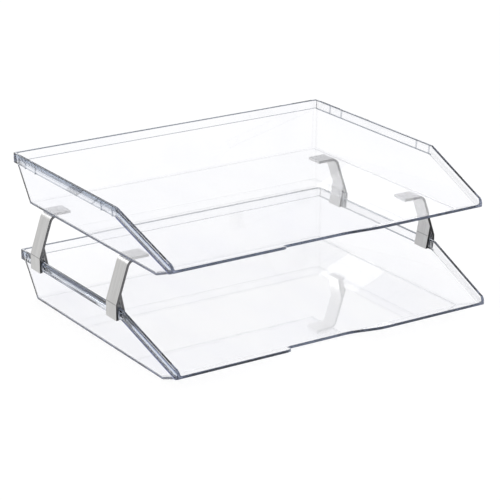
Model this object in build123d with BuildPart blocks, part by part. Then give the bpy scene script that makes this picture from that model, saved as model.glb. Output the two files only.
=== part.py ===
"""Tiered letter tray: two clear trays held one above the other by four metal supports.

The origin is the middle of the lower tray's floor, on the desk. The open front faces -Y, +Z is up.
"""

import os
from math import atan2, cos, radians, tan

from build123d import *

# Tray sizes, outside
floor_width = 318.5
floor_depth = 229.5
tray_height = 48.0
wall = 2.5
side_lean_degrees = 11.0
rear_lean_degrees = 13.5
floor_bend_radius = 1.8
corner_over_bend = 1.4

# Ramp along the open front
ramp_run = 31.5
ramp_degrees = 20.5
ramp_bend_radius = 8.0

# Top line of the side walls: level from the rear to a knee, then straight down to the front
knee_from_front = 81.5
knee_radius = 5.0
rim_end_height = 7.0
rim_end_radius = 6.0

# Rim band round the top, upright outside, with ribs on either side of each support
band_height = 9.2
band_corner_radius = 2.4
rib_width = 1.2
rib_proud = 1.0
rib_below_rim = 0.8

# Finger cut-out in the middle of the ramp
cutout_front_width = 95.0
cutout_rear_width = 69.0
cutout_depth = 28.0
cutout_radius = 11.0

# Supports, lengths of one bent section
support_width = 17.6
support_gauge = 2.8
support_clearance = 0.2
seat_clearance = 0.3
rear_support_from_rear = 24.0
front_support_from_knee = 14.5
foot_overlap = 10.5
leg_overlap = 8.5
crease_above_rim = 4.0
crease_radius = 1.0
strip_lean_degrees = 18.5
top_bend_radius = 9.0
flange_length = 22.0

# Spacing of the two tiers
tier_pitch = 91.4
upper_setback = 8.0

# Lengths past the part that the cutting shapes run on for
spare = 20.0

# Places worked out from the sizes above
side_lean = tan(radians(side_lean_degrees))
rear_lean = tan(radians(rear_lean_degrees))
ramp_slope = tan(radians(ramp_degrees))
floor_rear_y = floor_depth / 2
floor_front_y = -floor_depth / 2
front_y = floor_front_y - ramp_run
lip_z = ramp_run * ramp_slope
rim_end_z = lip_z + rim_end_height
knee_y = front_y + knee_from_front
rim_slope_angle = atan2(tray_height - rim_end_z, knee_from_front)
rim_slope = tan(rim_slope_angle)
rim_x = floor_width / 2 + tray_height * side_lean
rim_rear_y = floor_rear_y + tray_height * rear_lean
rim_end_x = floor_width / 2 + rim_end_z * side_lean
rear_corner_radius = floor_bend_radius + corner_over_bend
wall_across = wall / cos(radians(side_lean_degrees))
block_height = tray_height + spare
block_front_y = front_y - spare
far_x = rim_x + spare
far_y = rim_rear_y + spare
support_rows = {
    "rear": floor_rear_y - rear_support_from_rear,
    "front": knee_y + front_support_from_knee,
}


def sloped_rim_z(y: float) -> float:
    """Height of the sloping top line at y, in front of the knee."""
    return tray_height - (knee_y - y) * rim_slope


def tray_block(inset: float) -> Part:
    """Solid inside the floor and the three walls, drawn in by inset, over-tall and over-long."""
    with BuildPart() as block:
        with BuildSketch(Plane.YZ) as side:
            with BuildLine():
                Polyline(
                    (floor_front_y, 0),
                    (floor_rear_y, 0),
                    (floor_rear_y + block_height * rear_lean, block_height),
                    (block_front_y, block_height),
                    (block_front_y, (floor_front_y - block_front_y) * ramp_slope),
                    close=True,
                )
            make_face()
            fillet(side.vertices().group_by(Axis.Y)[0].sort_by(Axis.X)[0], radius=ramp_bend_radius)
            if inset:
                offset(amount=-inset, kind=Kind.INTERSECTION)
        extrude(amount=far_x + block_height, both=True)
        with BuildSketch(Plane.XZ):
            with BuildLine():
                Polyline(
                    (-floor_width / 2, 0),
                    (floor_width / 2, 0),
                    (floor_width / 2 + block_height * side_lean, block_height),
                    (-floor_width / 2 - block_height * side_lean, block_height),
                    close=True,
                )
            make_face()
            if inset:
                offset(amount=-inset, kind=Kind.INTERSECTION)
        extrude(amount=far_y + block_height, both=True, mode=Mode.INTERSECT)
        rear_corners = block.edges().filter_by(lambda edge: edge.center().Y > floor_rear_y)
        rear_corners = rear_corners.filter_by(Axis.X, reverse=True)
        rear_corners = rear_corners.filter_by(Axis.Y, reverse=True)
        fillet(rear_corners, radius=rear_corner_radius)
        underside = block.faces().filter_by(lambda face: face.normal_at().Z < -cos(radians(ramp_degrees + 1)))
        sides = underside.edges().filter_by(Axis.X, reverse=True)
        rear = block.faces().sort_by(Axis.Z)[0].edges().sort_by(Axis.Y)[-1]
        fillet(sides + [rear], radius=floor_bend_radius)
    return block.part


outer_block = tray_block(0)
inner_block = tray_block(wall)

# Rim band: upright outside, hanging from the top edge of the walls down to the band's lower line
with BuildPart() as rim_band:
    with BuildSketch() as outline:
        with BuildLine():
            Polyline(
                (-rim_end_x, front_y),
                (-rim_x, knee_y),
                (-rim_x, rim_rear_y),
                (rim_x, rim_rear_y),
                (rim_x, knee_y),
                (rim_end_x, front_y),
                close=True,
            )
        make_face()
        fillet(outline.vertices().group_by(Axis.Y)[-1], radius=band_corner_radius)
    extrude(amount=block_height)
    with BuildSketch(Plane.YZ):
        with BuildLine():
            band_drop = band_height / cos(rim_slope_angle)
            Polyline(
                (far_y, tray_height - band_height),
                (knee_y + band_height * tan(rim_slope_angle / 2), tray_height - band_height),
                (block_front_y, sloped_rim_z(block_front_y) - band_drop),
                (block_front_y, block_height),
                (far_y, block_height),
                close=True,
            )
        make_face()
        with BuildLine():
            Polyline(
                (far_y, 0),
                (floor_front_y, 0),
                (block_front_y, (floor_front_y - block_front_y) * ramp_slope),
                (block_front_y, block_height),
                (far_y, block_height),
                close=True,
            )
        make_face(mode=Mode.INTERSECT)
    extrude(amount=far_x, both=True, mode=Mode.INTERSECT)

# Lower tray
with BuildPart() as lower_tray:
    add(outer_block)
    add(rim_band.part)
    add(inner_block, mode=Mode.SUBTRACT)
    with BuildSketch(Plane.YZ) as side_view:
        with BuildLine():
            Polyline(
                (far_y, tray_height),
                (knee_y, tray_height),
                (front_y, rim_end_z),
                (front_y, -spare),
                (far_y, -spare),
                close=True,
            )
        make_face()
        fillet(side_view.vertices().sort_by_distance((knee_y, tray_height))[0], radius=knee_radius)
        fillet(side_view.vertices().sort_by_distance((front_y, rim_end_z))[0], radius=rim_end_radius)
    extrude(amount=far_x + spare, both=True, mode=Mode.INTERSECT)
    with BuildSketch() as cutout:
        with BuildLine():
            cutout_rear_y = front_y + cutout_depth
            cutout_end_x = cutout_front_width / 2 + spare
            Polyline(
                (-cutout_end_x, front_y - spare),
                (-cutout_end_x, front_y),
                (-cutout_front_width / 2, front_y),
                (-cutout_rear_width / 2, cutout_rear_y),
                (cutout_rear_width / 2, cutout_rear_y),
                (cutout_front_width / 2, front_y),
                (cutout_end_x, front_y),
                (cutout_end_x, front_y - spare),
                close=True,
            )
        make_face()
        bends = cutout.vertices().filter_by(lambda v: abs(v.X) < cutout_end_x - spare / 2)
        fillet(bends, radius=cutout_radius)
    extrude(amount=block_height, both=True, mode=Mode.SUBTRACT)
    for seat_y in support_rows.values():
        rib_from_middle = (support_width + rib_width) / 2 + seat_clearance
        rib_places = [(x, seat_y + y) for x in (-rim_x, rim_x) for y in (-rib_from_middle, rib_from_middle)]
        with BuildSketch(Plane.XY.offset(tray_height - band_height)):
            with Locations(rib_places):
                Rectangle(2 * rib_proud, rib_width)
        extrude(amount=band_height - rib_below_rim)
lower_tray.part.label = "lower_tray"

# Upper tray, the same moulding one tier up
with BuildPart() as upper_tray:
    with Locations((0, upper_setback, tier_pitch)):
        add(lower_tray.part)
upper_tray.part.label = "upper_tray"


def support_at(seat_y: float) -> Part:
    """Right-hand support at seat_y: forked foot over the rim, leaning strip, flange under the upper floor."""
    strip_lean = radians(strip_lean_degrees)
    flap_x = rim_x + support_clearance + support_gauge
    crease_z = tray_height + crease_above_rim
    corner_x = flap_x - (tier_pitch - crease_z) * tan(strip_lean)
    strip_inner_x = flap_x - support_gauge / cos(strip_lean) + crease_z * tan(strip_lean)
    slot_x = floor_width / 2 - wall_across - support_clearance
    leg_inner_x = slot_x - support_gauge / cos(radians(side_lean_degrees))
    fork_z = (strip_inner_x - slot_x) / (tan(strip_lean) + side_lean)
    join_z = (strip_inner_x - leg_inner_x) / (tan(strip_lean) + side_lean)
    leg_foot_z = tray_height - leg_overlap
    with BuildPart() as support:
        with BuildSketch(Plane.XZ.offset(-seat_y)):
            with BuildLine():
                FilletPolyline(
                    (flap_x, tray_height - foot_overlap),
                    (flap_x, crease_z),
                    (corner_x, tier_pitch),
                    (corner_x - flange_length, tier_pitch),
                    radius=[crease_radius, top_bend_radius],
                )
                offset(amount=support_gauge, side=Side.LEFT)
            make_face()
            with BuildLine():
                Polyline(
                    (leg_inner_x + leg_foot_z * side_lean, leg_foot_z),
                    (slot_x + leg_foot_z * side_lean, leg_foot_z),
                    (slot_x + fork_z * side_lean, fork_z),
                    (leg_inner_x + join_z * side_lean, join_z),
                    close=True,
                )
            make_face()
        extrude(amount=support_width / 2, both=True)
    return support.part


supports = []
for row, seat_y in support_rows.items():
    with BuildPart() as right_support:
        add(support_at(seat_y))
    right_support.part.label = f"{row}_right_support"
    with BuildPart() as left_support:
        mirror(right_support.part, about=Plane.YZ)
    left_support.part.label = f"{row}_left_support"
    supports += [left_support.part, right_support.part]

os.makedirs("parts", exist_ok=True)
for piece in [lower_tray.part, upper_tray.part, *supports]:
    export_step(piece, f"parts/{piece.label}.step")
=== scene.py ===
"""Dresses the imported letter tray: clear moulded trays, satin metal supports, a white studio and the camera.

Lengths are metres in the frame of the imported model: +Z up, the open front of the trays towards -Y.
"""

import logging
import math
from dataclasses import dataclass
from enum import Enum

import bmesh
import bpy
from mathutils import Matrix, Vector


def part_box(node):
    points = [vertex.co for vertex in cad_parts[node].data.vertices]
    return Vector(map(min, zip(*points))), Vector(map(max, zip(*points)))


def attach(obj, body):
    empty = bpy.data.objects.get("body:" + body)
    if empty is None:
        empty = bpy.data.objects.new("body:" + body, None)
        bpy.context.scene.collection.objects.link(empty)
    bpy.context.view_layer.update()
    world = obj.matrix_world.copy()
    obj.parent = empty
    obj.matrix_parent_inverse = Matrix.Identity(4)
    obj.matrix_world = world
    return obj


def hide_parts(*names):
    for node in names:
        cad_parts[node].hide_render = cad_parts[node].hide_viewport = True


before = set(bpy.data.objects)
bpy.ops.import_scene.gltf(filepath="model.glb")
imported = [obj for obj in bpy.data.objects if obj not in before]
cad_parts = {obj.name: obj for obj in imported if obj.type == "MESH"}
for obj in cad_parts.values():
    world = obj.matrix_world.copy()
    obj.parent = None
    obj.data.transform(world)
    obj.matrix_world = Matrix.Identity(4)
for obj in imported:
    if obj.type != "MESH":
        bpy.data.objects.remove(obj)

LOG = logging.getLogger("letter_tray")
# Rounded faces carry this mark; its value sets the strength of the painted shade on the plastic and of the
# painted highlight on the metal.
EDGE_MARK = "rounded_edge"

Colour = tuple[float, float, float]
Point = tuple[float, float, float]
Span = tuple[float, float]
Socket = bpy.types.NodeSocket
Outputs = bpy.types.NodeOutputs

WHOLE: Span = (0.0, 1.0)
WHITE: Colour = (1.0, 1.0, 1.0)


class Ray(Enum):
    """Kinds of ray that a Light Path node tells apart."""

    CAMERA = "Is Camera Ray"
    GLOSSY = "Is Glossy Ray"
    TRANSMISSION = "Is Transmission Ray"
    SHADOW = "Is Shadow Ray"


class Row(Enum):
    """Rows of supports along the trays."""

    REAR = "rear"
    FRONT = "front"


class Side(Enum):
    """Sides of the trays, seen from the front."""

    LEFT = "left"
    RIGHT = "right"


SEEN_RAYS = (Ray.CAMERA, Ray.GLOSSY, Ray.TRANSMISSION)


@dataclass(frozen=True)
class Line:
    """A soft line: its place, its reach to each side and its strength.

    Along the rim band, 0 is the top line of the tray and 1 the band's lower edge.
    """

    place: float
    reach: float
    strength: float = 1.0


@dataclass(frozen=True)
class Grain:
    """A cloudy pattern: its clouds per metre along each axis, and the finer layers laid over them."""

    stretch: Point
    detail: float
    roughness: float


class Graph:
    """Adds nodes to a node tree and joins them."""

    def __init__(self, tree: bpy.types.NodeTree) -> None:
        """Start on an emptied tree.

        Args:
            tree: The material, world or group tree to fill.
        """
        self.tree = tree
        tree.nodes.clear()

    def add(self, kind: str, values: dict | None = None, **settings) -> bpy.types.Node:
        """Add one node.

        Args:
            kind: Blender's name for the node type, without its usual start.
            values: Input sockets by name or number, each with a value or the output that feeds it.
            settings: Attributes of the node itself.

        Returns:
            The new node.
        """
        node = self.tree.nodes.new(kind if kind.startswith("Node") else f"ShaderNode{kind}")
        for name, value in settings.items():
            setattr(node, name, value)
        for key, value in (values or {}).items():
            socket = node.inputs[key]
            if isinstance(value, bpy.types.NodeSocket):
                self.tree.links.new(value, socket)
            elif socket.type == "RGBA":
                socket.default_value = (*value, 1.0)
            else:
                socket.default_value = value
        return node

    def math(self, operation: str, *values: Socket | float) -> Socket:
        """Do one sum on numbers.

        Args:
            operation: Blender's name for the sum.
            values: The numbers, or the outputs that give them.

        Returns:
            The output with the answer.
        """
        node = self.add("Math", dict(enumerate(values)), operation=operation)
        return node.outputs[0]

    def product(self, first: Socket, *others: Socket | float) -> Socket:
        """Multiply numbers.

        Args:
            first: The first number.
            others: What to multiply it by.

        Returns:
            The output with the answer.
        """
        answer = first
        for other in others:
            answer = self.math("MULTIPLY", answer, other)
        return answer

    def parts(self, vector: Socket) -> Outputs:
        """Split a vector into its X, Y and Z."""
        return self.add("SeparateXYZ", {"Vector": vector}).outputs

    def ramp(self, value: Socket, span: Span, low: float = 0.0, high: float = 1.0) -> Socket:
        """Move a number smoothly from one range to another, held at both ends.

        Args:
            value: The number to move.
            span: Where the first range starts and ends.
            low: What the start becomes.
            high: What the end becomes.

        Returns:
            The output with the new number.
        """
        names = ("Value", "From Min", "From Max", "To Min", "To Max")
        values = dict(zip(names, (value, *span, low, high)))
        return self.add("MapRange", values, interpolation_type="SMOOTHSTEP").outputs["Result"]

    def line(self, value: Socket, line: Line) -> Socket:
        """Draw a soft line.

        Args:
            value: The number that says where a point lies.
            line: Where the line is, how far it reaches to each side and how strong it is.

        Returns:
            The output with the line's strength, which falls to 0 on both sides.
        """
        off = self.math("ABSOLUTE", self.math("SUBTRACT", value, line.place))
        return self.ramp(off, (0.0, line.reach), line.strength, 0.0)

    def blend(self, share: Socket, first: Colour | Socket, second: Colour | Socket) -> Socket:
        """Mix two colours.

        Args:
            share: How much of the second colour to take.
            first: The first colour.
            second: The second colour.

        Returns:
            The output with the mixed colour.
        """
        node = self.add("MixRGB", {"Fac": share, "Color1": first, "Color2": second})
        return node.outputs["Color"]

    def noise(self, place: Socket, grain: Grain) -> Socket:
        """Give a cloudy number from 0 to 1.

        Args:
            place: The coordinates to read it at.
            grain: The pattern.

        Returns:
            The output with the number.
        """
        spread = self.add("VectorMath", {0: place, 1: grain.stretch}, operation="MULTIPLY")
        values = {"Vector": spread.outputs["Vector"], "Scale": 1.0}
        values |= {"Detail": grain.detail, "Roughness": grain.roughness}
        return self.add("TexNoise", values).outputs["Fac"]

    def rays(self, *kinds: Ray) -> Socket:
        """Give 1 for a ray of any of these kinds, and 0 for the others.

        Args:
            kinds: The kinds of ray to pick out.

        Returns:
            The output that holds the answer.
        """
        path = self.add("LightPath")
        answer = path.outputs[kinds[0].value]
        for kind in kinds[1:]:
            answer = self.math("MAXIMUM", answer, path.outputs[kind.value])
        return answer


@dataclass
class Effects:
    """Shader node groups that more than one material uses."""

    smudge_span: Span = (0.42, 0.72)
    smudge_detail: float = 4.0
    smudge_roughness: float = 0.55
    rub_span: Span = (0.60, 0.78)
    rub_detail: float = 2.0
    rub_distortion: float = 1.5
    # Where the lines of painted shade lie on the rim band.
    lower_shade_line: Line = Line(0.90, 0.14)
    slope_lower_shade_line: Line = Line(0.93, 0.26)
    slope_upper_shade_line: Line = Line(0.21, 0.15, 0.9)
    inner_shade_line: Line = Line(0.97, 0.10)

    def __post_init__(self) -> None:
        """Build each group once."""
        self.marks = self.handling_marks()
        self.depth = self.rim_depth()

    @staticmethod
    def start(
        name: str, numbers: tuple[str, ...], outputs: tuple[str, ...]
    ) -> tuple[Graph, dict[str, Socket]]:
        """Make an empty group with its sockets.

        Args:
            name: Name of the group.
            numbers: Names of the inputs that follow Vector, which are all numbers.
            outputs: Names of the outputs, which are all numbers.

        Returns:
            The graph to fill, and the group's inputs by name.
        """
        tree = bpy.data.node_groups.new(name, "ShaderNodeTree")
        tree.interface.new_socket("Vector", in_out="INPUT", socket_type="NodeSocketVector")
        for socket in numbers:
            tree.interface.new_socket(socket, in_out="INPUT", socket_type="NodeSocketFloat")
        for socket in outputs:
            tree.interface.new_socket(socket, in_out="OUTPUT", socket_type="NodeSocketFloat")
        graph = Graph(tree)
        given = graph.add("NodeGroupInput")
        return graph, {socket: given.outputs[socket] for socket in ("Vector", *numbers)}

    def handling_marks(self) -> bpy.types.NodeTree:
        """Faint smudges and short rub marks, as handling leaves them.

        Returns:
            The group, which puts out the smudges and the rub marks.
        """
        graph, given = self.start(
            "handling_marks",
            ("Smudges per Metre", "Rubs per Metre"),
            ("Smudge", "Rub"),
        )
        smudge = graph.add(
            "TexNoise",
            {
                "Vector": given["Vector"],
                "Scale": given["Smudges per Metre"],
                "Detail": self.smudge_detail,
                "Roughness": self.smudge_roughness,
            },
        )
        rub = graph.add(
            "TexNoise",
            {
                "Vector": given["Vector"],
                "Scale": given["Rubs per Metre"],
                "Detail": self.rub_detail,
                "Distortion": self.rub_distortion,
            },
        )
        graph.add(
            "NodeGroupOutput",
            {
                "Smudge": graph.ramp(smudge.outputs["Fac"], self.smudge_span),
                "Rub": graph.ramp(rub.outputs["Fac"], self.rub_span),
            },
        )
        return graph.tree

    def rim_depth(self) -> bpy.types.NodeTree:
        """Where a point lies under the top line of a tray, level at the rear and sloping from the knee.

        Returns:
            The group. It puts out a depth that is 1 at the top line and falls to 0 at the lower edge of the
            rim band, masks for the lines of painted shade (one along that edge, two on the sloping part,
            and one on the level part for the shade that shows through from inside the tray), and whether
            the point is on the sloping part.
        """
        graph, given = self.start(
            "rim_depth",
            ("Rim Height", "Knee", "Slope", "Band"),
            ("Depth", "Lower Shade Line", "Slope Shade Lines", "Inner Shade Line", "Sloping"),
        )
        place = graph.parts(given["Vector"])
        ahead = graph.math("MAXIMUM", graph.math("SUBTRACT", given["Knee"], place["Y"]), 0.0)
        top = graph.math("SUBTRACT", given["Rim Height"], graph.product(ahead, given["Slope"]))
        below = graph.math("DIVIDE", graph.math("SUBTRACT", top, place["Z"]), given["Band"])
        sloping = graph.math("GREATER_THAN", ahead, 0.0)
        level = graph.math("SUBTRACT", 1.0, sloping)
        slope_shade_lines = graph.math(
            "MAXIMUM",
            graph.line(below, self.slope_lower_shade_line),
            graph.line(below, self.slope_upper_shade_line),
        )
        graph.add(
            "NodeGroupOutput",
            {
                "Depth": graph.ramp(below, WHOLE, 1.0, 0.0),
                "Lower Shade Line": graph.line(below, self.lower_shade_line),
                "Slope Shade Lines": graph.product(slope_shade_lines, sloping),
                "Inner Shade Line": graph.product(graph.line(below, self.inner_shade_line), level),
                "Sloping": sloping,
            },
        )
        return graph.tree


@dataclass(frozen=True)
class ClearPlastic:
    """Clear moulded plastic with a faint lavender cast, and painted blue-grey shade along its rim band, lip
    and edges.

    The sloping part of the band and the rounded edges are satin, so that light guided in the wall
    doesn't show there as stripes.
    """

    tint: Colour = (0.982, 0.983, 0.993)
    flow_tint: Colour = (0.962, 0.964, 0.985)
    # Painted shade laid over the plastic's own tint: blue-grey down the rim band, dark lines along it, on the
    # lip and on the rounded edges.
    rim_band_painted_shade: Colour = (0.33, 0.45, 0.66)
    band_line_painted_shade: Colour = (0.30, 0.34, 0.41)
    slope_lines_painted_shade: Colour = (0.01, 0.03, 0.2)
    lip_painted_shade: Colour = (0.19, 0.23, 0.28)
    edge_painted_shade: Colour = (0.03, 0.045, 0.07)
    shadow_tint: Colour = (0.985, 0.985, 0.99)
    depth_colour: Colour = (0.555, 0.59, 0.68)
    depth_strength: float = 12.0
    refraction: float = 1.49
    polish: float = 0.012
    rubbed: float = 0.06
    slope_satin: float = 0.17
    edge_satin: float = 0.3
    smudges: float = 22.0
    rubs: float = 260.0
    flow: Grain = Grain((26.0, 7.0, 26.0), 3.0, 0.5)
    flow_span: Span = (0.35, 0.7)
    wave: Grain = Grain((32.0, 32.0, 32.0), 1.0, 0.4)
    wave_height: float = 0.00003
    band_facing: Span = (0.985, 0.995)
    lip_facing: Span = (0.05, 0.15)
    lip_end: Span = (0.155, 0.158)
    lip_rear: Span = (-0.115, -0.11)

    def band_faces(self, graph: Graph, facing: Outputs, across: Socket) -> tuple[Socket, Socket]:
        """Find the upright faces of the rim band along the sides.

        Args:
            graph: The material's graph.
            facing: The parts of the direction that the surface faces.
            across: How far to the right of the middle the point lies.

        Returns:
            Two masks: such a face met from outside, and such a face met from within the plastic.
        """
        within = graph.add("NewGeometry").outputs["Backfacing"]
        outward = graph.product(facing["X"], graph.math("SIGN", across))
        outer = graph.math("SUBTRACT", graph.ramp(outward, self.band_facing), within)
        sideways = graph.ramp(graph.math("ABSOLUTE", facing["X"]), self.band_facing)
        return graph.math("MAXIMUM", outer, 0.0), graph.product(sideways, within)

    def lip(self, graph: Graph, facing: Outputs, here: Outputs) -> Socket:
        """Find the upright edge along the front of the ramp and round its finger cut-out.

        Args:
            graph: The material's graph.
            facing: The parts of the direction that the surface faces.
            here: The parts of the point's place on the tray.

        Returns:
            The mask where the lip's painted shade goes.
        """
        upright = graph.ramp(graph.math("ABSOLUTE", facing["Z"]), self.lip_facing, 1.0, 0.0)
        between = graph.ramp(graph.math("ABSOLUTE", here["X"]), self.lip_end, 1.0, 0.0)
        front = graph.ramp(here["Y"], self.lip_rear, 1.0, 0.0)
        return graph.product(upright, between, front)

    def coat(self, graph: Graph, tray: "Tray", effects: Effects) -> bpy.types.Node:
        """Lay the tint, the painted shade, the rubbed places and the slight waves on the surface.

        Args:
            graph: The material's graph.
            tray: The tray that wears it, for the place and the sizes of its rim.
            effects: The shared node groups.

        Returns:
            The shader of the surface.
        """
        coordinates = graph.add("TexCoord").outputs
        moved = graph.add("Mapping", {"Vector": coordinates["Object"], "Location": -tray.shift()})
        place = moved.outputs["Vector"]
        here = graph.parts(place)
        facing = graph.parts(coordinates["Normal"])
        rim = graph.add("Group", {"Vector": place, **tray.rim_sizes()}, node_tree=effects.depth).outputs
        handling = {"Vector": place, "Smudges per Metre": self.smudges, "Rubs per Metre": self.rubs}
        marks = graph.add("Group", handling, node_tree=effects.marks).outputs
        edge = graph.add("Attribute", attribute_name=EDGE_MARK).outputs["Fac"]
        outer, within = self.band_faces(graph, facing, here["X"])
        flow = graph.ramp(graph.noise(place, self.flow), self.flow_span)
        body = graph.blend(flow, self.tint, self.flow_tint)
        # Paint shade on the rim band, its lines, the lip and the rounded edges.
        for share, tint in (
            (graph.product(rim["Depth"], outer), self.rim_band_painted_shade),
            (graph.product(rim["Lower Shade Line"], outer), self.band_line_painted_shade),
            (graph.product(rim["Slope Shade Lines"], outer), self.slope_lines_painted_shade),
            (graph.product(rim["Inner Shade Line"], within), self.edge_painted_shade),
            (self.lip(graph, facing, here), self.lip_painted_shade),
            (edge, self.edge_painted_shade),
        ):
            body = graph.blend(share, body, tint)
        worn = graph.product(marks["Smudge"], marks["Rub"])
        gloss = graph.ramp(worn, WHOLE, self.polish, self.rubbed)
        satin = graph.product(outer, rim["Sloping"], self.slope_satin)
        satin = graph.math("MAXIMUM", satin, graph.product(edge, self.edge_satin))
        wavy = graph.noise(place, self.wave)
        bump = graph.add("Bump", {"Strength": 1.0, "Distance": self.wave_height, "Height": wavy})
        return graph.add(
            "BsdfPrincipled",
            {
                "Base Color": body,
                "Roughness": graph.math("MAXIMUM", gloss, satin),
                "Normal": bump.outputs["Normal"],
                "IOR": self.refraction,
                "Transmission Weight": 1.0,
            },
        )

    def build(self, name: str, tray: "Tray", effects: Effects) -> bpy.types.Material:
        """Make the material for one tray.

        Args:
            name: Name of the material.
            tray: The tray that wears it.
            effects: The shared node groups.

        Returns:
            The new material.
        """
        material = bpy.data.materials.new(name)
        material.use_nodes = True
        graph = Graph(material.node_tree)
        coat = self.coat(graph, tray, effects)
        shadow = graph.add("BsdfTransparent", {"Color": self.shadow_tint})
        surface = graph.add(
            "MixShader",
            {0: graph.rays(Ray.SHADOW), 1: coat.outputs["BSDF"], 2: shadow.outputs["BSDF"]},
        )
        depth = graph.add("VolumeAbsorption", {"Color": self.depth_colour, "Density": self.depth_strength})
        graph.add(
            "OutputMaterial",
            {"Surface": surface.outputs["Shader"], "Volume": depth.outputs["Volume"]},
        )
        return material


@dataclass(frozen=True)
class SatinMetal:
    """Satin aluminium, brushed along the strip, with a painted highlight on the rounded edges, a line of
    painted shade along the crease and painted shade on the cut ends.

    The painted shade on the cut ends is deeper on the right-hand supports and low on the feet.
    """

    dark: Colour = (0.47, 0.468, 0.464)
    light: Colour = (0.61, 0.608, 0.602)
    edge_painted_highlight: Colour = (0.74, 0.74, 0.73)
    # Painted shade along the crease of the bend.
    crease_painted_shade: Colour = (0.19, 0.19, 0.19)
    crease: Line = Line(0.0520, 0.0005)
    # Painted shade on the cut ends: deeper on the right-hand supports and low on the feet.
    end_painted_shade: Colour = (0.15, 0.15, 0.155)
    deep_end_painted_shade: Colour = (0.036, 0.036, 0.038)
    cut_facing: Span = (0.80, 0.95)
    right_side: Span = (-0.01, 0.01)
    foot_top: Span = (0.042, 0.05)
    foot_share: float = 0.8
    streaks: Grain = Grain((14.0, 900.0, 14.0), 4.0, 0.7)
    streak_share: float = 0.6
    hairs: Grain = Grain((45.0, 4200.0, 45.0), 2.0, 0.6)
    hair_share: float = 0.4
    grain_span: Span = (0.32, 0.68)
    satin: float = 0.42
    polished: float = 0.28
    dull_span: Span = (0.4, 0.6)
    dull_share: float = 0.6
    smudges: float = 90.0
    scratch: float = 0.000012
    scratch_strength: float = 0.6

    def brushing(self, graph: Graph, place: Socket) -> Socket:
        """Draw the brush marks.

        Args:
            graph: The material's graph.
            place: The coordinates to read them at.

        Returns:
            The output with the marks, from 0 to 1.
        """
        streaks = graph.product(graph.noise(place, self.streaks), self.streak_share)
        hairs = graph.product(graph.noise(place, self.hairs), self.hair_share)
        return graph.math("ADD", streaks, hairs)

    def ends_painted_shade(self, graph: Graph, here: Outputs) -> Socket:
        """Choose the painted shade of the cut ends, deeper on the right-hand side and low on the feet.

        Args:
            graph: The material's graph.
            here: The parts of the point's place.

        Returns:
            The output with the painted shade.
        """
        right = graph.ramp(here["X"], self.right_side)
        foot = graph.ramp(here["Z"], self.foot_top, self.foot_share, 0.0)
        return graph.blend(graph.math("MAXIMUM", right, foot), self.end_painted_shade, self.deep_end_painted_shade)

    def build(self, name: str, effects: Effects) -> bpy.types.Material:
        """Make the material.

        Args:
            name: Name of the material.
            effects: The shared node groups.

        Returns:
            The new material.
        """
        material = bpy.data.materials.new(name)
        material.use_nodes = True
        graph = Graph(material.node_tree)
        coordinates = graph.add("TexCoord").outputs
        place = coordinates["Object"]
        here = graph.parts(place)
        handling = {"Vector": place, "Smudges per Metre": self.smudges}
        marks = graph.add("Group", handling, node_tree=effects.marks).outputs
        grain = self.brushing(graph, place)
        body = graph.blend(graph.ramp(grain, self.grain_span), self.dark, self.light)
        # A line of painted shade along the crease of the bend.
        body = graph.blend(graph.line(here["Z"], self.crease), body, self.crease_painted_shade)
        edge = graph.add("Attribute", attribute_name=EDGE_MARK).outputs["Fac"]
        # Painted highlight on the rounded edges.
        body = graph.blend(edge, body, self.edge_painted_highlight)
        sideways = graph.math("ABSOLUTE", graph.parts(coordinates["Normal"])["Y"])
        # Painted shade on the cut ends, the faces that look along the strip.
        body = graph.blend(graph.ramp(sideways, self.cut_facing), body, self.ends_painted_shade(graph, here))
        dull = graph.ramp(grain, self.dull_span, 0.0, self.dull_share)
        dull = graph.math("MAXIMUM", marks["Smudge"], dull)
        gloss = graph.ramp(dull, WHOLE, self.polished, self.satin)
        scratches = {"Strength": self.scratch_strength, "Distance": self.scratch, "Height": grain}
        bump = graph.add("Bump", scratches)
        shader = graph.add(
            "BsdfPrincipled",
            {"Base Color": body, "Roughness": gloss, "Normal": bump.outputs["Normal"], "Metallic": 1.0},
        )
        graph.add("OutputMaterial", {"Surface": shader.outputs["BSDF"]})
        return material


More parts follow.
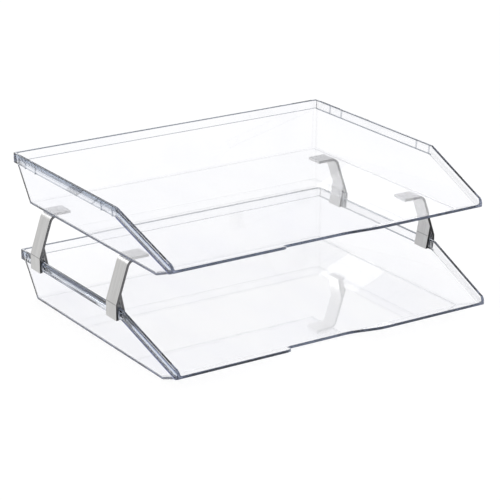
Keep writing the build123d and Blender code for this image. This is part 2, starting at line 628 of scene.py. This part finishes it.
@dataclass
class RoundedPiece:
    """A piece of the model with its sharp outer edges rounded over."""

    node: str
    body: str
    slot: str
    radius: float
    sharpest: float = math.radians(35)
    steps: int = 4
    same_place: float = 1e-6
    same_plane: float = math.radians(0.5)
    flat_weight: int = 100

    def name(self) -> str:
        """Name of the finished piece."""
        return f"{self.node}_piece"

    def settle(self, shape: bmesh.types.BMesh) -> None:
        """Adjust the shape before its edges are rounded; most pieces need nothing."""

    def sharp_edges(self, shape: bmesh.types.BMesh) -> list[bmesh.types.BMEdge]:
        """Find the sharp edges that stand outwards.

        Args:
            shape: The shape to look at.

        Returns:
            Those edges.
        """
        return [edge for edge in shape.edges if edge.is_convex and edge.calc_face_angle() > self.sharpest]

    def bevel(
        self, shape: bmesh.types.BMesh, edges: list[bmesh.types.BMEdge], radius: float, shade: float = 1.0
    ) -> None:
        """Round some edges over and mark the rounded faces.

        Args:
            shape: The shape that the edges belong to.
            edges: The edges to round.
            radius: How far the rounding reaches from the edge.
            shade: How strongly the rounded faces take the painted shade of the plastic and the painted
                highlight of the metal, from 0 to 1.
        """
        rounded = bmesh.ops.bevel(
            shape,
            geom=edges,
            offset=radius,
            offset_type="OFFSET",
            affect="EDGES",
            segments=self.steps,
            profile=0.5,
            material=-1,
            clamp_overlap=False,
        )
        mark = shape.faces.layers.float[EDGE_MARK]
        for face in rounded["faces"]:
            face[mark] = shade

    def round_edges(self, shape: bmesh.types.BMesh) -> None:
        """Round all the sharp outward edges alike."""
        self.bevel(shape, self.sharp_edges(shape), self.radius)

    def shape(self) -> bmesh.types.BMesh:
        """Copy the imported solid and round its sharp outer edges.

        Returns:
            The rounded shape, with its rounded faces marked.
        """
        shape = bmesh.new()
        shape.from_mesh(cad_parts[self.node].data)
        bmesh.ops.remove_doubles(shape, verts=shape.verts, dist=self.same_place)
        bmesh.ops.dissolve_limit(
            shape,
            angle_limit=self.same_plane,
            verts=shape.verts,
            edges=shape.edges,
            use_dissolve_boundaries=False,
        )
        self.settle(shape)
        shape.faces.layers.float.new(EDGE_MARK)
        self.round_edges(shape)
        for face in shape.faces:
            face.smooth = True
        for edge in shape.edges:
            edge.smooth = edge.calc_face_angle() < self.sharpest
        return shape

    def build(self, finish: bpy.types.Material) -> bpy.types.Object:
        """Make the piece, put its finish on and let it stand for its solid.

        Args:
            finish: The material.

        Returns:
            The finished piece.
        """
        shape = self.shape()
        mesh = bpy.data.meshes.new(self.name())
        shape.to_mesh(mesh)
        shape.free()
        mesh.attributes.remove(mesh.attributes["custom_normal"])
        mesh.materials.append(finish)
        piece = bpy.data.objects.new(self.name(), mesh)
        bpy.context.scene.collection.objects.link(piece)
        flat = piece.modifiers.new("flat_faces_stay_flat", "WEIGHTED_NORMAL")
        flat.mode = "FACE_AREA"
        flat.weight = self.flat_weight
        flat.keep_sharp = True
        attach(piece, self.body)
        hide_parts(self.node)
        LOG.info("%s rides on %s with %d faces", piece.name, self.body, len(mesh.polygons))
        return piece


@dataclass
class Tray(RoundedPiece):
    """One clear tray, moulded in one piece.

    The faces of the rim are told from those of the ramp by which way they tilt.
    """

    slot: str = "clear_plastic"
    radius: float = 0.0007
    knee: float = -0.06475
    slope: float = 0.3585
    band: float = 0.0092
    band_face: float = 0.16858
    band_radius: float = 0.00026
    lip_radius: float = 0.0004
    # How strongly the painted shade shows on each kind of rounded face, and its smaller share on the sloping
    # part.
    band_shade: float = 1.0
    rim_shade: float = 0.97
    slope_share: float = 0.28
    lip_shade: float = 0.80
    level: float = 0.85
    ramp_tilt: float = 0.1
    ramp_top: float = 0.02

    def name(self) -> str:
        """Name of the finished tray."""
        return f"{self.node}_moulding"

    def on_band(self, edge: bmesh.types.BMEdge, foot: float) -> bool:
        """Tell whether an edge belongs to the ribs or to the underside of the rim band.

        Args:
            edge: The edge.
            foot: Height of the tray's underside.

        Returns:
            Whether it does.
        """
        if any(abs(vert.co.x) > self.band_face + self.band_radius / 4 for vert in edge.verts):
            return True
        return any(
            face.normal.z < -self.level
            and face.normal.y > -self.ramp_tilt
            and face.calc_center_median().z > foot + self.band / 2
            for face in edge.link_faces
        )

    def on_rim(self, edge: bmesh.types.BMEdge, foot: float) -> bool:
        """Tell whether an edge borders the top of the rim, level or sloping.

        Args:
            edge: The edge.
            foot: Height of the tray's underside.

        Returns:
            Whether it does.
        """
        return any(
            face.normal.z > self.level
            and face.normal.y < self.ramp_tilt
            and face.calc_center_median().z > foot + self.ramp_top
            for face in edge.link_faces
        )

    def round_edges(self, shape: bmesh.types.BMesh) -> None:
        """Round the narrow ribs and the rim band a little, the lip more and the top of the rim most, and mark
        how strongly each rounded face takes painted shade.

        Args:
            shape: The tray.
        """
        shift = self.shift()
        band = [edge for edge in self.sharp_edges(shape) if self.on_band(edge, shift.z)]
        self.bevel(shape, band, self.band_radius, self.band_shade)
        rim = [edge for edge in self.sharp_edges(shape) if self.on_rim(edge, shift.z)]
        self.bevel(shape, rim, self.radius, self.rim_shade)
        # The painted shade on the rounded faces is weaker on the sloping part.
        mark = shape.faces.layers.float[EDGE_MARK]
        for face in shape.faces:
            if face.calc_center_median().y < self.knee + shift.y:
                face[mark] *= self.slope_share
        self.bevel(shape, self.sharp_edges(shape), self.lip_radius, self.lip_shade)

    def shift(self) -> Vector:
        """Where this tray stands, measured from the lower one."""
        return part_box(self.node)[0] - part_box("lower_tray")[0]

    def rim_sizes(self) -> dict[str, float]:
        """Sizes of the rim for its shading, by the name of their socket."""
        low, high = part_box("lower_tray")
        return {"Rim Height": high.z - low.z, "Knee": self.knee, "Slope": self.slope, "Band": self.band}


@dataclass
class Support(RoundedPiece):
    """One bent metal support, forked over the rim of the lower tray."""

    slot: str = "support_metal"
    radius: float = 0.0002
    sharpest: float = math.radians(50)
    air_gap: float = 0.00012

    def name(self) -> str:
        """Name of the finished support."""
        return f"{self.node}_strip"

    def settle(self, shape: bmesh.types.BMesh) -> None:
        """Leave a breath of air between the flange and the floor above it.

        Args:
            shape: The support before its edges are rounded.
        """
        top = max(vert.co.z for vert in shape.verts)
        flange = [vert for vert in shape.verts if top - vert.co.z < self.same_place]
        bmesh.ops.translate(shape, verts=flange, vec=(0.0, 0.0, -self.air_gap))


@dataclass(frozen=True)
class Softbox:
    """One large soft lamp that points at the trays."""

    name: str
    place: Point
    width: float
    height: float
    power: float

    def build(self) -> None:
        """Hang the lamp, out of the camera's sight."""
        lamp = bpy.data.lights.new(self.name, "AREA")
        lamp.shape = "RECTANGLE"
        lamp.size = self.width
        lamp.size_y = self.height
        lamp.energy = self.power
        box = bpy.data.objects.new(self.name, lamp)
        box.location = self.place
        box.rotation_euler = (-Vector(self.place)).to_track_quat("-Z", "Y").to_euler()
        box.visible_camera = False
        box.visible_transmission = False
        bpy.context.scene.collection.objects.link(box)


@dataclass(frozen=True)
class Studio:
    """White floor, soft lamps and white surroundings."""

    floor_half: float = 14.0
    floor_drop: float = 0.0004
    floor_paint: float = 0.25
    floor_lift: float = 0.79
    fill: float = 0.85
    bounces: int = 64
    lamps: tuple[Softbox, ...] = (
        Softbox("key_softbox", (-1.5, -0.5, 1.9), 1.5, 1.5, 9.0),
        Softbox("back_softbox", (-0.75, 1.8, 1.2), 1.0, 0.6, 6.0),
    )

    def paint(self) -> bpy.types.Material:
        """Make the floor's white, which is lifted where it is seen so that the object's shadow stays faint.

        Returns:
            The new material.
        """
        material = bpy.data.materials.new("studio_white")
        material.use_nodes = True
        graph = Graph(material.node_tree)
        paint = graph.add("BsdfDiffuse", {"Color": (self.floor_paint,) * 3})
        strength = graph.product(graph.rays(*SEEN_RAYS), self.floor_lift)
        lift = graph.add("Emission", {"Color": WHITE, "Strength": strength})
        total = graph.add("AddShader", {0: paint.outputs["BSDF"], 1: lift.outputs["Emission"]})
        graph.add("OutputMaterial", {"Surface": total.outputs["Shader"]})
        return material

    def build_floor(self) -> None:
        """Lay the white floor just under the lower tray."""
        plane = bmesh.new()
        bmesh.ops.create_grid(plane, x_segments=2, y_segments=2, size=self.floor_half)
        bmesh.ops.translate(plane, verts=plane.verts, vec=(0.0, 0.0, -self.floor_drop))
        mesh = bpy.data.meshes.new("studio_floor")
        plane.to_mesh(mesh)
        plane.free()
        mesh.materials.append(self.paint())
        floor = bpy.data.objects.new("studio_floor", mesh)
        bpy.context.scene.collection.objects.link(floor)

    def build_world(self) -> None:
        """Surround the scene with white, seen at full strength and lighting it at the fill level."""
        world = bpy.data.worlds.new("studio_surround")
        world.use_nodes = True
        graph = Graph(world.node_tree)
        fill = graph.add("Background", {"Color": WHITE, "Strength": self.fill})
        seen = graph.add("Background", {"Color": WHITE, "Strength": 1.0})
        both = graph.add(
            "MixShader",
            {0: graph.rays(*SEEN_RAYS), 1: fill.outputs["Background"], 2: seen.outputs["Background"]},
        )
        graph.add("OutputWorld", {"Surface": both.outputs["Shader"]})
        bpy.context.scene.world = world

    def build(self) -> None:
        """Set up the floor, the surroundings and the lamps."""
        self.build_floor()
        self.build_world()
        for lamp in self.lamps:
            lamp.build()
        scene = bpy.context.scene
        scene.view_settings.view_transform = "Standard"
        scene.cycles.max_bounces = self.bounces
        scene.cycles.transmission_bounces = self.bounces
        scene.cycles.glossy_bounces = self.bounces
        LOG.info("studio with %d lamps", len(self.lamps))


@dataclass(frozen=True)
class PhotoCamera:
    """Camera that gives the photograph's view in a square frame."""

    target: Point = (0.00111, -0.00372, 0.05286)
    distance: float = 1.9719
    azimuth: float = math.radians(-32.84)
    elevation: float = math.radians(19.52)
    frame_pixels: float = 500.0
    focal_pixels: float = 2146.59
    sensor: float = 36.0
    far: float = 100.0

    def build(self) -> None:
        """Make the camera and look through it."""
        flat = math.cos(self.elevation)
        sideways = math.sin(self.azimuth) * flat
        backwards = -math.cos(self.azimuth) * flat
        away = Vector((sideways, backwards, math.sin(self.elevation)))
        lens = bpy.data.cameras.new("photo_camera")
        lens.sensor_width = self.sensor
        lens.lens = self.focal_pixels / self.frame_pixels * self.sensor
        lens.clip_end = self.far
        camera = bpy.data.objects.new("photo_camera", lens)
        camera.location = Vector(self.target) + away * self.distance
        camera.rotation_euler = (-away).to_track_quat("-Z", "Y").to_euler()
        bpy.context.scene.collection.objects.link(camera)
        bpy.context.scene.camera = camera


def main() -> None:
    """Build the camera, the studio and every piece."""
    logging.basicConfig(level=logging.INFO, format="%(message)s")
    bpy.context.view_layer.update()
    PhotoCamera().build()
    Studio().build()
    effects = Effects()
    plastic = ClearPlastic()
    for node, body in (("lower_tray", "base"), ("upper_tray", "upper")):
        tray = Tray(node, body)
        tray.build(plastic.build(f"clear_plastic_{body}", tray, effects))
    metal = SatinMetal().build("satin_brushed_metal", effects)
    for row in Row:
        for side in Side:
            Support(f"{row.value}_{side.value}_support", "base").build(metal)


if __name__ == "__main__":
    main()
